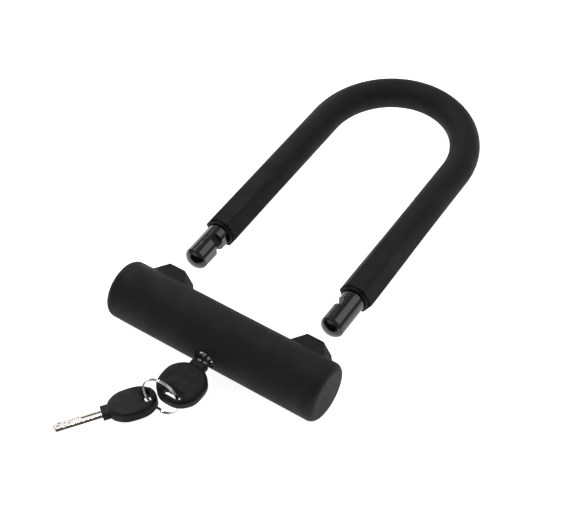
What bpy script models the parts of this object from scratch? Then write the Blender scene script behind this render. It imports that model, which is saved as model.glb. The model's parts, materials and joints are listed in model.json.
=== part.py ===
"""Bicycle U lock: a steel shackle in a soft sleeve, a round crossbar with the lock core in its middle,
a key in the core, and a spare key on a split ring.

The lock frame has X along the crossbar, +Y along the shackle's legs and +Z up, with its zero on the
crossbar's axis. At rest the shackle stands pulled out of its sockets and both bolts are drawn back.
"""
import math

import bmesh
import bpy
import numpy as np
from mathutils import Matrix, Vector

MM = 0.001
GAP = 0.3 * MM                      # air between two pieces that touch
OVERCUT = 1.0 * MM                  # how far a cutting shape passes the surface it cuts

# Crossbar
CROSSBAR_LENGTH = 159.4 * MM
COVER_RADIUS = 20.0 * MM
COVER_WALL = 2.1 * MM
TUBE_WALL = 2.2 * MM
RIM_RADIUS = 4.8 * MM               # rounding of the two end rims
CAP_THICKNESS = 6.0 * MM
CAP_SPIGOT = 2.6 * MM
PLUG_THICKNESS = 4.0 * MM
PLUG_PIN_RADIUS = 1.5 * MM
PLUG_PIN_BORE = 0.8 * MM
PLUG_PIN_INSET = 0.4 * MM           # pin's ends, in from the tube's surface
PIN_HOLE_PLAY = 0.3 * MM

# Bosses around the two sockets, as hexagons that widen towards the crossbar
BOSS_END_Y = 26.5 * MM
BOSS_FOOT_Y = 12.0 * MM
BOSS_FOOT_TOP_HALF = 14.9 * MM      # half width of the foot's flat top
BOSS_FOOT_SIDE_HALF = 25.2 * MM     # half width of the foot at mid height
BOSS_FOOT_HEIGHT = 12.0 * MM        # half height of the foot
BOSS_EDGE = 0.8 * MM

# Shackle
LEG_SPACING = 107.5 * MM
BAR_RADIUS = 8.3 * MM
BEND_START_Y = 210.5 * MM
BEND_HEIGHT = 58.6 * MM
TIP_Y = 41.5 * MM
TIP_DOME = 4.6 * MM
TIP_FACE_RADIUS = 3.6 * MM
BAR_FLAT_DEPTH = 1.1 * MM           # flats on the inner sides of the bar's ends
BAR_FLAT_LENGTH = 50.0 * MM
NOTCH_TO_COLLAR = 10.0 * MM         # middle of the bolt notch, from the collar's face
NOTCH_WIDTH = 6.4 * MM
NOTCH_DEPTH = 6.4 * MM              # from the bar's full round
SLEEVE_END_Y = 74.8 * MM
SLEEVE_APOTHEM = 10.9 * MM
SLEEVE_ROUND_RADIUS = 10.9 * MM
COLLAR_RADIUS = 9.9 * MM
COLLAR_PROUD = 1.8 * MM
COLLAR_LENGTH = 4.0 * MM
COLLAR_EDGE = 0.5 * MM
SEAT_GAP = 0.5 * MM                 # collar to boss, shackle fully home

# Leg sockets
SOCKET_PLAY = 0.35 * MM             # around the bar
SOCKET_WALL = 1.6 * MM
SOCKET_TOP_Y = 22.4 * MM
SOCKET_BOTTOM_Y = -10.0 * MM
SOCKET_FLOOR = 2.4 * MM

# Lock core
PLUG_RADIUS = 6.0 * MM
CORE_PLAY = 0.2 * MM                # plug in its housing
FACE_INSET = 2.8 * MM               # plug's face, in from the cover's front
PLUG_REAR_Y = 8.3 * MM
HOUSING_RADIUS = 11.5 * MM
NOSE_LENGTH = 4.0 * MM
HOUSING_REAR_Y = 6.0 * MM
NOSE_WALL = 0.8 * MM                # housing's nose, around the plug's bore
BEZEL_LAP = 0.7 * MM                # bezel over the plug's rim
BEZEL_THICKNESS = 1.1 * MM
BEZEL_EDGE = 0.4 * MM
KEYWAY_PLAY = 0.3 * MM
STACKS = 5
STACK_PITCH = 3.5 * MM
STACK_SETBACK = 6.0 * MM            # first pin chamber, behind the plug's face
STACK_RADIUS = 1.15 * MM
KEY_PIN_POINT_RADIUS = 0.3 * MM
KEY_PIN_POINT_LENGTH = 0.8 * MM
DRIVER_LENGTH = 1.4 * MM
SPRING_WIRE = 0.36 * MM
SPRING_TURNS = 3
SPRING_PLAY = 0.05 * MM             # coil to the pin's width
STRIP_HALF_WIDTH = 2.2 * MM
STRIP_THICKNESS = 0.8 * MM
CLIP_THICKNESS = 0.6 * MM
CLIP_PROUD = 1.6 * MM               # clip, beyond the plug's round
CLIP_GROOVE_DEPTH = 0.8 * MM
LUG_HALF_WIDTH = 1.0 * MM
LUG_INNER = 3.2 * MM
LUG_OUTER = 5.0 * MM

# Drive cam and bolts
CAM_RADIUS = 6.6 * MM
CAM_THICKNESS = 1.6 * MM
CRANK_RADIUS = 4.2 * MM
CRANK_PIN_RADIUS = 1.3 * MM
BOLT_THICKNESS = 2.8 * MM
BOLT_HALF_HEIGHT = 5.0 * MM
BOLT_TAIL_HEIGHT = 7.2 * MM
BOLT_TAIL_WALL = 1.5 * MM           # beyond the crank pin's slot
BOLT_LAP = 1.5 * MM                 # how far the bolt's three shapes run into each other
NOSE_HALF_HEIGHT = 2.8 * MM
NOSE_WIDTH = 5.8 * MM
NOSE_STEM = 3.5 * MM
NOSE_CHAMFER = 4.6 * MM
GUIDE_TO_NOSE = 2.36 * MM           # guide's outer end to the bolt's nose, drawn in
GUIDE_CORE_RADIUS = 7.0 * MM        # lightening hole along each guide
GUIDE_CORE_Y = -2.0 * MM

# Keys
NECK_STANDOFF = 5.8 * MM            # neck's face to the plug's face, key fully in
BLADE_LENGTH = 31.0 * MM
BLADE_HALF_WIDTH = 4.0 * MM
BLADE_THICKNESS = 2.4 * MM
BLADE_TANG = 14.0 * MM
BLADE_POINT = 2.6 * MM
BLADE_TIP_HALF_WIDTH = 1.9 * MM
GROOVE_DEPTH = 0.5 * MM
GROOVE_HALF_WIDTH = 0.7 * MM
GROOVE_LENGTH = 17.0 * MM
DIMPLES = 3
DIMPLE_RADIUS = 0.9 * MM
DIMPLE_OFFSET = 1.6 * MM            # to either side of the blade's middle
DIMPLE_FIRST = 3.0 * MM             # beyond the groove's end
DIMPLE_PITCH = 3.4 * MM
GROOVE_START = 1.0 * MM
NECK_HALF_WIDTH = 5.7 * MM
NECK_HALF_HEIGHT = 2.6 * MM
NECK_LENGTH = 4.3 * MM
NECK_ROOT = 6.0 * MM                # how far the neck runs into the bow
BOW_HALF_WIDTH = 15.4 * MM
BOW_HALF_LENGTH = 15.9 * MM
BOW_HALF_THICKNESS = 3.6 * MM
BOW_SQUARENESS = 2.35               # 2 is an ellipse, higher is squarer
BOW_LEVELS = ((-1, 0.80), (-0.86, 0.92), (-0.5, 1), (0.5, 1), (0.86, 0.92), (1, 0.80))
BOW_SLOT_HALF_LENGTH = 6.8 * MM
BOW_SLOT_HALF_WIDTH = 2.2 * MM
BOW_SLOT_INSET = 6.1 * MM           # slot's middle line, from the bow's far edge

# Split ring and spare key, placed from the middle of the key's neck face
RING_RADIUS = 13.2 * MM
RING_WIRE_RADIUS = 0.5 * MM
RING_PITCH = 1.06 * MM
RING_CENTRE = (-8.5 * MM, -31.3 * MM, -5.0 * MM)
RING_LEAN = math.radians(-8.0)
RING_TURN = math.radians(-4.3)
RING_HOOK_X = 3.2 * MM              # where the ring passes the key's slot
RING_HOOK_Y = -30.0 * MM
SPARE_NECK = (-33.8 * MM, -59.0 * MM, -9.9 * MM)
SPARE_YAW = math.radians(143.1)
SPARE_PITCH = math.radians(-1.4)
SPARE_ROLL = math.radians(22.3)
SPARE_HOOK_X = 4.9 * MM             # where the ring passes the spare's slot

# Sizes that follow from those above
HALF_LENGTH = CROSSBAR_LENGTH / 2
CAP_SEAM_X = HALF_LENGTH - CAP_THICKNESS
TUBE_RADIUS = COVER_RADIUS - COVER_WALL - GAP
TUBE_BORE = TUBE_RADIUS - TUBE_WALL
TUBE_END_X = CAP_SEAM_X - GAP
FILL_RADIUS = TUBE_BORE - GAP
LEG_X = LEG_SPACING / 2
SOCKET_BORE = BAR_RADIUS + SOCKET_PLAY
SOCKET_RADIUS = SOCKET_BORE + SOCKET_WALL
COLLAR_FACE_Y = SLEEVE_END_Y - COLLAR_PROUD
SLEEVE_BORE = BAR_RADIUS + GAP
TRAVEL = COLLAR_FACE_Y - BOSS_END_Y - SEAT_GAP
NOTCH_Y = COLLAR_FACE_Y - NOTCH_TO_COLLAR
HOUSING_BORE = PLUG_RADIUS + CORE_PLAY
NOSE_RADIUS = HOUSING_BORE + NOSE_WALL
BEZEL_HOLE_RADIUS = PLUG_RADIUS - BEZEL_LAP
CLIP_RADIUS = PLUG_RADIUS + CLIP_PROUD
PLUG_FRONT_Y = FACE_INSET - COVER_RADIUS
HOUSING_FRONT_Y = PLUG_FRONT_Y + NOSE_LENGTH
STACK_FIRST_Y = PLUG_FRONT_Y + STACK_SETBACK
NECK_Y = PLUG_FRONT_Y - NECK_STANDOFF
CHAMBER_RADIUS = STACK_RADIUS + GAP
CAM_Y = PLUG_REAR_Y + GAP
BOLT_Y = CAM_Y + CAM_THICKNESS + GAP
BOLT_REAR_Y = BOLT_Y + BOLT_THICKNESS
CRANK_OFFSET = CRANK_RADIUS * math.sqrt(0.5)
BOLT_TRAVEL = 2 * CRANK_OFFSET
CRANK_PLAY = CRANK_PIN_RADIUS + GAP
TAIL_REACH = CRANK_OFFSET + CRANK_PLAY + BOLT_TAIL_WALL
BOLT_BAR_X = TAIL_REACH + GAP       # a bolt's bar starts clear of the other bolt's tail
TAIL_END_X = BOLT_BAR_X + BOLT_LAP
GUIDE_INNER_X = TAIL_END_X + BOLT_TRAVEL + GAP
NOSE_Y = NOTCH_Y - TRAVEL           # middle of the bolt's nose
NOSE_TIP_X = LEG_X - SOCKET_BORE - GAP
STEM_X = NOSE_TIP_X - BOLT_TRAVEL
GUIDE_OUTER_X = STEM_X - NOSE_STEM - GUIDE_TO_NOSE
BOW_MIDDLE_Y = GAP - NECK_LENGTH - BOW_HALF_LENGTH
BOW_SLOT_Y = BOW_MIDDLE_Y - BOW_HALF_LENGTH + BOW_SLOT_INSET

X, Y, Z = Vector((1, 0, 0)), Vector((0, 1, 0)), Vector((0, 0, 1))


# Scene and materials

def clear_scene():
    for obj in list(bpy.data.objects):
        bpy.data.objects.remove(obj, do_unlink=True)


def material(name, colour, roughness, metallic=0.0):
    made = bpy.data.materials.new(name)
    made.use_nodes = True
    shader = made.node_tree.nodes["Principled BSDF"]
    shader.inputs["Base Color"].default_value = (*colour, 1.0)
    shader.inputs["Roughness"].default_value = roughness
    shader.inputs["Metallic"].default_value = metallic
    made.diffuse_color = (*colour, 1.0)
    return made


def empty(name, place, parent=None):
    """An empty in the lock frame, for a body's pieces to hang on."""
    made = bpy.data.objects.new(name, None)
    bpy.context.scene.collection.objects.link(made)
    made.parent = parent
    made.matrix_world = Matrix.Translation(place) if isinstance(place, Vector) else place
    bpy.context.view_layer.update()
    return made


def mesh_object(name, bm, finish=None, parent=None, sharp=35.0):
    """An object from a bmesh that was built in the lock frame."""
    bmesh.ops.recalc_face_normals(bm, faces=bm.faces)
    mesh = bpy.data.meshes.new(name)
    bm.to_mesh(mesh)
    bm.free()
    mesh.shade_smooth()
    mesh.set_sharp_from_angle(angle=math.radians(sharp))
    made = bpy.data.objects.new(name, mesh)
    bpy.context.scene.collection.objects.link(made)
    if finish:
        mesh.materials.append(finish)
    if parent:
        made.parent = parent
        made.matrix_parent_inverse = parent.matrix_world.inverted()
    return made


def boolean(target, cutter, operation="DIFFERENCE"):
    """Cuts target with a hidden helper that moves with it, or joins the helper to it."""
    cutter.parent = target
    cutter.hide_render = True
    cutter.display_type = "WIRE"
    step = target.modifiers.new(cutter.name, "BOOLEAN")
    step.object = cutter
    step.operation = operation
    step.solver = "EXACT"


def cut(target, *shapes):
    for number, bm in enumerate(shapes):
        boolean(target, mesh_object(f"{target.name}.cut{number}", bm))


def join(target, *shapes):
    for number, bm in enumerate(shapes):
        boolean(target, mesh_object(f"{target.name}.add{number}", bm), "UNION")


# Shapes

def loft(rings, closed=False):
    """Skins rings of equal length, in order, and caps both ends unless the rings close on themselves."""
    bm = bmesh.new()
    rows = [[bm.verts.new(point) for point in ring] for ring in rings]
    pairs = list(zip(rows, rows[1:] + rows[:1])) if closed else list(zip(rows, rows[1:]))
    for low, high in pairs:
        for i in range(len(low)):
            j = (i + 1) % len(low)
            bm.faces.new((low[i], low[j], high[j], high[i]))
    if not closed:
        bm.faces.new(rows[0])
        bm.faces.new(rows[-1])
    return bm


def circle(centre, axis, radius, segments, start=0.5):
    """Points round axis. start 0.5 puts a flat facet, and 0 a corner, on the first direction."""
    side = X if abs(axis.dot(X)) < 0.5 else Y
    other = axis.cross(side)
    turns = [(i + start) * math.tau / segments for i in range(segments)]
    return [centre + radius * (math.cos(a) * side + math.sin(a) * other) for a in turns]


def turned(profile, axis, centre=Vector((0, 0, 0)), segments=32, start=0.0):
    """A solid of rings: (distance along axis, radius) from one end face to the other."""
    return loft([circle(centre + s * axis, axis, r, segments, start) for s, r in profile])


def rod(low, high, radius, axis, centre=Vector((0, 0, 0)), segments=24):
    return turned([(low, radius), (high, radius)], axis, centre, segments)


def pipe(low, high, bore, radius, axis, centre=Vector((0, 0, 0)), segments=32):
    ends = [(low, bore), (low, radius), (high, radius), (high, bore)]
    return loft([circle(centre + s * axis, axis, r, segments, 0.0) for s, r in ends], closed=True)


def box(low, high):
    corners = [(low[0], low[1]), (high[0], low[1]), (high[0], high[1]), (low[0], high[1])]
    return loft([[Vector((x, y, z)) for x, y in corners] for z in (low[2], high[2])])


def plate(outline, low_z, high_z):
    """An outline in the XY plane, carried from low_z to high_z."""
    return loft([[Vector((x, y, z)) for x, y in outline] for z in (low_z, high_z)])


def moved(bm, matrix):
    bmesh.ops.transform(bm, matrix=matrix, verts=bm.verts)
    return bm


def mirrored_x(outline, side):
    return [(side * x, y) for x, y in outline]


# Shackle

def shackle_path(end_y, straight_steps, bend_steps):
    """Points and directions along the U, from the left leg's end to the right leg's."""
    rise = np.linspace(end_y, BEND_START_Y, straight_steps, endpoint=False).tolist()
    path = [(Vector((-LEG_X, y, 0)), Y, (y - end_y) / (BEND_START_Y - end_y)) for y in rise]
    for angle in np.linspace(math.pi, 0, bend_steps).tolist():
        across, along = math.cos(angle), math.sin(angle)
        place = Vector((LEG_X * across, BEND_START_Y + BEND_HEIGHT * along, 0))
        heading = Vector((LEG_X * along, -BEND_HEIGHT * across, 0)).normalized()
        path.append((place, heading, 1.0))
    return path + [(Vector((LEG_X, p.y, 0)), -Y, share) for p, _, share in reversed(path[:straight_steps])]


def section(place, heading, radii, angles):
    side = heading.cross(Z)
    return [place + r * (math.cos(a) * side + math.sin(a) * Z) for r, a in zip(radii, angles)]


def hexagon_radius(angle, apothem):
    """Distance to the side of a hexagon whose flats face up and down."""
    turn = (angle - math.pi / 2 + math.pi / 6) % (math.pi / 3) - math.pi / 6
    return apothem / math.cos(turn)


def shackle_bar(finish, body):
    angles = [i * math.tau / 24 for i in range(24)]
    path = shackle_path(TIP_Y + TIP_DOME, 2, 28)
    first, last = path[0][0], path[-1][0]
    shares = (0, 0.12, 0.4, 0.75)
    swell = BAR_RADIUS - TIP_FACE_RADIUS
    dome = [(share, TIP_FACE_RADIUS + swell * math.sqrt(1 - (1 - share) ** 2)) for share in shares]
    rings = []
    for share, radius in dome:
        rings.append(section(first - (1 - share) * TIP_DOME * Y, Y, [radius] * 24, angles))
    rings += [section(place, heading, [BAR_RADIUS] * 24, angles) for place, heading, _ in path]
    for share, radius in reversed(dome):
        rings.append(section(last - (1 - share) * TIP_DOME * Y, -Y, [radius] * 24, angles))
    bar = mesh_object("shackle_bar", loft(rings), finish, body)
    for side in (-1, 1):
        inner = side * (LEG_X - BAR_RADIUS)
        flat_x = sorted((inner - side * OVERCUT, inner + side * BAR_FLAT_DEPTH))
        notch_x = sorted((inner - side * OVERCUT, inner + side * NOTCH_DEPTH))
        half = BAR_RADIUS + OVERCUT
        flat_low, flat_high = TIP_Y + TIP_DOME, TIP_Y + BAR_FLAT_LENGTH
        notch_low, notch_high = NOTCH_Y - NOTCH_WIDTH / 2, NOTCH_Y + NOTCH_WIDTH / 2
        name = "left" if side < 0 else "right"
        flat = box((flat_x[0], flat_low, -half), (flat_x[1], flat_high, half))
        notch = box((notch_x[0], notch_low, -half), (notch_x[1], notch_high, half))
        boolean(bar, mesh_object(f"flat_cut_{name}", flat))
        boolean(bar, mesh_object(f"notch_cut_{name}", notch))
    return bar


def shackle_sleeve(finish, body):
    """Hexagonal on the straight legs, fading to round before the bend, with a counterbore at each end."""
    angles = [i * math.tau / 24 for i in range(24)]
    path = shackle_path(SLEEVE_END_Y, 6, 22)
    outer = []
    for place, heading, share in path:
        fade = min(1.0, share) ** 2 * (3 - 2 * min(1.0, share))
        radii = [hexagon_radius(a, SLEEVE_APOTHEM) for a in angles]
        radii = [r * (1 - fade) + SLEEVE_ROUND_RADIUS * fade for r in radii]
        outer.append(section(place, heading, radii, angles))
    inner_path = [(place, heading) for place, heading, _ in path]
    recess = COLLAR_LENGTH - COLLAR_PROUD + GAP
    inner = []
    for place, heading in (inner_path[-1], inner_path[0]):
        inward = Y * recess
        wide = section(place, heading, [COLLAR_RADIUS + GAP] * 24, angles)
        deep = section(place + inward, heading, [COLLAR_RADIUS + GAP] * 24, angles)
        bore = section(place + inward, heading, [SLEEVE_BORE] * 24, angles)
        inner.append([wide, deep, bore])
    middle = [section(p, h, [SLEEVE_BORE] * 24, angles) for p, h in reversed(inner_path[1:-1])]
    rings = outer + inner[0] + middle + inner[1][::-1]
    return mesh_object("shackle_sleeve", loft(rings, closed=True), finish, body)


def sleeve_ring(name, side, finish, body):
    low, high = COLLAR_FACE_Y, COLLAR_FACE_Y + COLLAR_LENGTH
    profile = [(low, SLEEVE_BORE), (low, COLLAR_RADIUS - COLLAR_EDGE), (low + COLLAR_EDGE, COLLAR_RADIUS),
               (high, COLLAR_RADIUS), (high, SLEEVE_BORE)]
    centre = Vector((side * LEG_X, 0, 0))
    rings = [circle(centre + y * Y, Y, r, 28, 0.0) for y, r in profile]
    return mesh_object(name, loft(rings, closed=True), finish, body)


# Crossbar

def boss(side):
    """A hexagonal block that widens from the boss's end towards the crossbar's axis."""
    half = SLEEVE_APOTHEM
    corner = half * math.tan(math.pi / 6)
    point = half / math.cos(math.pi / 6)
    sizes = [(BOSS_FOOT_Y, BOSS_FOOT_TOP_HALF, BOSS_FOOT_SIDE_HALF, BOSS_FOOT_HEIGHT),
             (BOSS_END_Y - BOSS_EDGE, corner, point, half)]
    shrink = 1 - BOSS_EDGE / half
    sizes.append((BOSS_END_Y, corner * shrink, point * shrink, half * shrink))
    rings = []
    for y, top, wide, high in sizes:
        outline = [(-wide, 0), (-top, high), (top, high), (wide, 0), (top, -high), (-top, -high)]
        rings.append([Vector((side * LEG_X + x, y, z)) for x, z in outline])
    return loft(rings)


def bolt_pocket(side, top_z, foot_y):
    """Room for the bolt's nose and stem, drawn in and thrown."""
    x = STEM_X - NOSE_STEM - GAP
    top = NOSE_Y + NOSE_WIDTH / 2 + GAP
    outline = [(x, foot_y), (x, top - NOSE_CHAMFER), (x + NOSE_CHAMFER, top), (LEG_X, top), (LEG_X, foot_y)]
    return plate(mirrored_x(outline, side), -top_z, top_z)


def crossbar_cover(finish, body):
    barrel = rod(-CAP_SEAM_X, CAP_SEAM_X, COVER_RADIUS, X, segments=64)
    cover = mesh_object("crossbar_cover", barrel, finish, body)
    join(cover, boss(-1), boss(1))
    cuts = [rod(-HALF_LENGTH, HALF_LENGTH, TUBE_RADIUS + GAP, X, segments=64)]
    for side in (-1, 1):
        leg = Vector((side * LEG_X, 0, 0))
        cuts.append(rod(0, SOCKET_TOP_Y + GAP, SOCKET_RADIUS + GAP, Y, leg, 32))
        cuts.append(rod(0, BOSS_END_Y + OVERCUT, SOCKET_BORE + GAP, Y, leg, 32))
        cuts.append(bolt_pocket(side, NOSE_HALF_HEIGHT + GAP, BOSS_FOOT_Y))
    cuts.append(rod(-COVER_RADIUS - OVERCUT, 0, NOSE_RADIUS + GAP, Y, segments=32))
    cut(cover, *cuts)
    return cover


def crossbar_tube(finish, body):
    wall = pipe(-TUBE_END_X, TUBE_END_X, TUBE_BORE, TUBE_RADIUS, X, segments=48)
    tube = mesh_object("crossbar_tube", wall, finish, body)
    cuts = [rod(-COVER_RADIUS, 0, HOUSING_RADIUS + GAP, Y, segments=32)]
    for side in (-1, 1):
        cuts.append(rod(0, COVER_RADIUS, SOCKET_RADIUS + GAP, Y, Vector((side * LEG_X, 0, 0)), 32))
        cuts.append(bolt_pocket(side, NOSE_HALF_HEIGHT + GAP, BOSS_FOOT_Y))
        hole = Vector((side * plug_pin_x(), 0, 0))
        cuts.append(rod(-COVER_RADIUS, COVER_RADIUS, PLUG_PIN_RADIUS + PIN_HOLE_PLAY, Z, hole, 12))
    cut(tube, *cuts)
    return tube


def plug_pin_x():
    """Middle of an end plug, along the crossbar."""
    return CAP_SEAM_X - CAP_SPIGOT - GAP - PLUG_THICKNESS / 2


def end_cap(name, side, finish, body):
    arc = [math.radians(a) for a in (0, 22.5, 45, 67.5, 90)]
    flat = COVER_RADIUS - RIM_RADIUS
    profile = [(CAP_SEAM_X - CAP_SPIGOT, FILL_RADIUS), (CAP_SEAM_X + GAP, FILL_RADIUS)]
    profile.append((CAP_SEAM_X + GAP, COVER_RADIUS))
    for a in arc:
        profile.append((HALF_LENGTH - RIM_RADIUS * (1 - math.sin(a)), flat + RIM_RADIUS * math.cos(a)))
    return mesh_object(name, turned(profile, side * X, segments=64), finish, body)


def end_plug(name, side, finish, body):
    centre = Vector((side * plug_pin_x(), 0, 0))
    half = PLUG_THICKNESS / 2
    plug = mesh_object(name, rod(-half, half, FILL_RADIUS, X, centre, 48), finish, body)
    cut(plug, rod(-COVER_RADIUS, COVER_RADIUS, PLUG_PIN_RADIUS + PIN_HOLE_PLAY, Z, centre, 12))
    return plug


def end_pin(name, side, finish, body):
    """A rolled pin, hollow, through the tube and its plug."""
    centre = Vector((side * plug_pin_x(), 0, 0))
    half = TUBE_RADIUS - PLUG_PIN_INSET
    return mesh_object(name, pipe(-half, half, PLUG_PIN_BORE, PLUG_PIN_RADIUS, Z, centre, 12), finish, body)


def leg_socket(name, side, finish, body):
    leg = Vector((side * LEG_X, 0, 0))
    profile = [(SOCKET_BOTTOM_Y, SOCKET_RADIUS), (SOCKET_TOP_Y, SOCKET_RADIUS)]
    socket = mesh_object(name, turned(profile, Y, leg, 32), finish, body)
    bore = rod(SOCKET_BOTTOM_Y + SOCKET_FLOOR, SOCKET_TOP_Y + OVERCUT, SOCKET_BORE, Y, leg, 32)
    cut(socket, bore, bolt_pocket(side, NOSE_HALF_HEIGHT + GAP, BOLT_Y - GAP))
    return socket


# Lock core

def stack_places():
    return [Vector((0, STACK_FIRST_Y + i * STACK_PITCH, 0)) for i in range(STACKS)]


def strip_z():
    """Underside of the strip that closes the pin chambers."""
    return HOUSING_RADIUS - STRIP_THICKNESS - 2 * GAP


def lock_housing(finish, body):
    profile = [(PLUG_FRONT_Y, NOSE_RADIUS), (HOUSING_FRONT_Y, NOSE_RADIUS),
               (HOUSING_FRONT_Y, HOUSING_RADIUS), (HOUSING_REAR_Y, HOUSING_RADIUS)]
    housing = mesh_object("lock_housing", turned(profile, Y, segments=40), finish, body)
    cuts = [rod(PLUG_FRONT_Y - OVERCUT, HOUSING_REAR_Y + OVERCUT, HOUSING_BORE, Y, segments=32)]
    top = HOUSING_RADIUS + OVERCUT
    cuts += [rod(PLUG_RADIUS - OVERCUT, top, CHAMBER_RADIUS, Z, place, 12) for place in stack_places()]
    half = STRIP_HALF_WIDTH + GAP
    low, high = HOUSING_FRONT_Y - OVERCUT, HOUSING_REAR_Y + OVERCUT
    cuts.append(box((-half, low, strip_z() - GAP), (half, high, top)))
    cut(housing, *cuts)
    return housing


def pin_cover(finish, body):
    z = strip_z()
    low = (-STRIP_HALF_WIDTH, HOUSING_FRONT_Y, z)
    high = (STRIP_HALF_WIDTH, HOUSING_REAR_Y, z + STRIP_THICKNESS)
    return mesh_object("pin_cover", box(low, high), finish, body)


def keyhole_bezel(finish, body):
    back = PLUG_FRONT_Y - GAP
    front = back - BEZEL_THICKNESS
    profile = [(back, BEZEL_HOLE_RADIUS), (front, BEZEL_HOLE_RADIUS + BEZEL_EDGE),
               (front, NOSE_RADIUS - BEZEL_EDGE), (back, NOSE_RADIUS)]
    rings = [circle(y * Y, Y, r, 40, 0.0) for y, r in profile]
    return mesh_object("keyhole_bezel", loft(rings, closed=True), finish, body)


def keyway(low_y, high_y):
    half_x = BLADE_HALF_WIDTH + KEYWAY_PLAY
    half_z = BLADE_THICKNESS / 2 + KEYWAY_PLAY
    return box((-half_x, low_y, -half_z), (half_x, high_y, half_z))


def clip_groove_y():
    """Front and rear face of the groove behind the housing."""
    return HOUSING_REAR_Y + GAP, HOUSING_REAR_Y + CLIP_THICKNESS + 3 * GAP


def lock_plug(finish, body):
    groove_low, groove_high = clip_groove_y()
    groove_radius = PLUG_RADIUS - CLIP_GROOVE_DEPTH
    profile = [(PLUG_FRONT_Y, PLUG_RADIUS), (groove_low, PLUG_RADIUS), (groove_low, groove_radius),
               (groove_high, groove_radius), (groove_high, PLUG_RADIUS), (PLUG_REAR_Y, PLUG_RADIUS)]
    plug = mesh_object("lock_plug", turned(profile, Y, segments=32), finish, body)
    lugs = []
    lug_end = CAM_Y + CAM_THICKNESS - GAP
    for side in (-1, 1):
        z = sorted((side * LUG_INNER, side * LUG_OUTER))
        lugs.append(box((-LUG_HALF_WIDTH, PLUG_REAR_Y - OVERCUT, z[0]), (LUG_HALF_WIDTH, lug_end, z[1])))
    join(plug, *lugs)
    cuts = [keyway(PLUG_FRONT_Y - OVERCUT, PLUG_REAR_Y + OVERCUT)]
    cuts += [rod(0, PLUG_RADIUS + OVERCUT, CHAMBER_RADIUS, Z, place, 12) for place in stack_places()]
    cut(plug, *cuts)
    return plug


def plug_clip(finish, body):
    """An open ring in the groove behind the housing."""
    low = clip_groove_y()[0] + GAP
    inner = PLUG_RADIUS - CLIP_GROOVE_DEPTH + GAP
    angles = np.linspace(math.radians(-60), math.radians(240), 21).tolist()
    outline = [(CLIP_RADIUS * math.cos(a), CLIP_RADIUS * math.sin(a)) for a in angles]
    outline += [(inner * math.cos(a), inner * math.sin(a)) for a in angles[::-1]]
    rings = [[Vector((x, y, z)) for x, z in outline] for y in (low, low + CLIP_THICKNESS)]
    return mesh_object("plug_clip", loft(rings), finish, body)


def pin_stack(number, place, steel, brass, housing_body, plug_body):
    """A key pin in the plug, and a driver pin and its spring in the housing."""
    foot = BLADE_THICKNESS / 2 + GAP
    top = math.sqrt(PLUG_RADIUS ** 2 - STACK_RADIUS ** 2) - GAP
    shoulder = foot + KEY_PIN_POINT_LENGTH
    profile = [(foot, KEY_PIN_POINT_RADIUS), (shoulder, STACK_RADIUS), (top, STACK_RADIUS)]
    mesh_object(f"key_pin_{number}", turned(profile, Z, place, 12), brass, plug_body)
    low = HOUSING_BORE + GAP
    high = low + DRIVER_LENGTH
    mesh_object(f"driver_pin_{number}", rod(low, high, STACK_RADIUS, Z, place, 12), steel, housing_body)
    wire = SPRING_WIRE / 2
    bottom = high + GAP + wire
    rise = strip_z() - GAP - wire - bottom
    radius = STACK_RADIUS - wire - SPRING_PLAY
    steps = SPRING_TURNS * 10
    turns = [(i / steps, i / 10 * math.tau) for i in range(steps + 1)]
    coil = [place + Vector((radius * math.cos(a), radius * math.sin(a), bottom + rise * s)) for s, a in turns]
    mesh_object(f"driver_spring_{number}", tube_along(coil, wire, 6), steel, housing_body)


def tube_along(points, radius, segments):
    """A round wire along points, with flat ends."""
    rings = []
    for i, point in enumerate(points):
        heading = (points[min(i + 1, len(points) - 1)] - points[max(i - 1, 0)]).normalized()
        side = heading.cross(Z if abs(heading.z) < 0.9 else X).normalized()
        other = heading.cross(side)
        turns = [j * math.tau / segments for j in range(segments)]
        rings.append([point + radius * (math.cos(a) * side + math.sin(a) * other) for a in turns])
    return loft(rings)


def crank_places():
    """Where the cam's two pins stand at rest, on the right bolt's side and the left bolt's side."""
    return [Vector((-side * CRANK_OFFSET, 0, side * CRANK_OFFSET)) for side in (1, -1)]


def drive_cam(finish, body):
    disc = rod(CAM_Y, CAM_Y + CAM_THICKNESS, CAM_RADIUS, Y, segments=32)
    cam = mesh_object("drive_cam", disc, finish, body)
    root = CAM_Y + CAM_THICKNESS / 2
    pins = [rod(root, BOLT_REAR_Y - GAP, CRANK_PIN_RADIUS, Y, place, 16) for place in crank_places()]
    join(cam, *pins)
    half = LUG_HALF_WIDTH + GAP
    slots = []
    for side in (-1, 1):
        z = sorted((side * (LUG_INNER - GAP), side * (LUG_OUTER + GAP)))
        slots.append(box((-half, CAM_Y - OVERCUT, z[0]), (half, BOLT_Y, z[1])))
    cut(cam, *slots)
    return cam


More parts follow.
